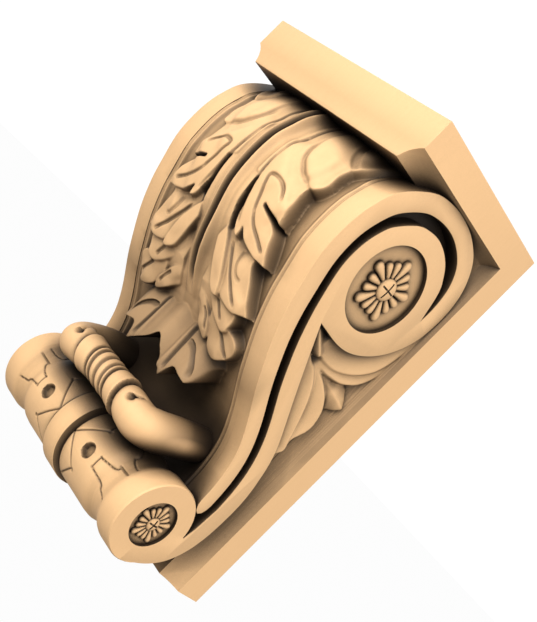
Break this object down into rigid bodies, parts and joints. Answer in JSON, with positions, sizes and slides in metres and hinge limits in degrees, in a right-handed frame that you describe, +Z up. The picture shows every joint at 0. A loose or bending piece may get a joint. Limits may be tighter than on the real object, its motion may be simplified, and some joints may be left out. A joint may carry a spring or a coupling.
{
  "type": "leaf corbel",
  "caption": "Scrolled wall bracket with a flat cap and back plate, an acanthus leaf down its front, a banded yoke, a turned foot roll and rosettes in its scroll ends.",
  "frame": {"origin": "middle of the flat back face, which lies against the wall", "axes": "+Z up, +Y into the wall, so the leaf faces -Y, and +X to the right seen from the front with +Z up"},
  "size_m": [0.191, 0.169, 0.3358],
  "materials": {
    "carved_wood": "bare carved wood, fine cutter marks, matt"
  },
  "bodies": {
    "root": {"leaf_corbel": "carved_wood"}
  },
  "joints": []
}
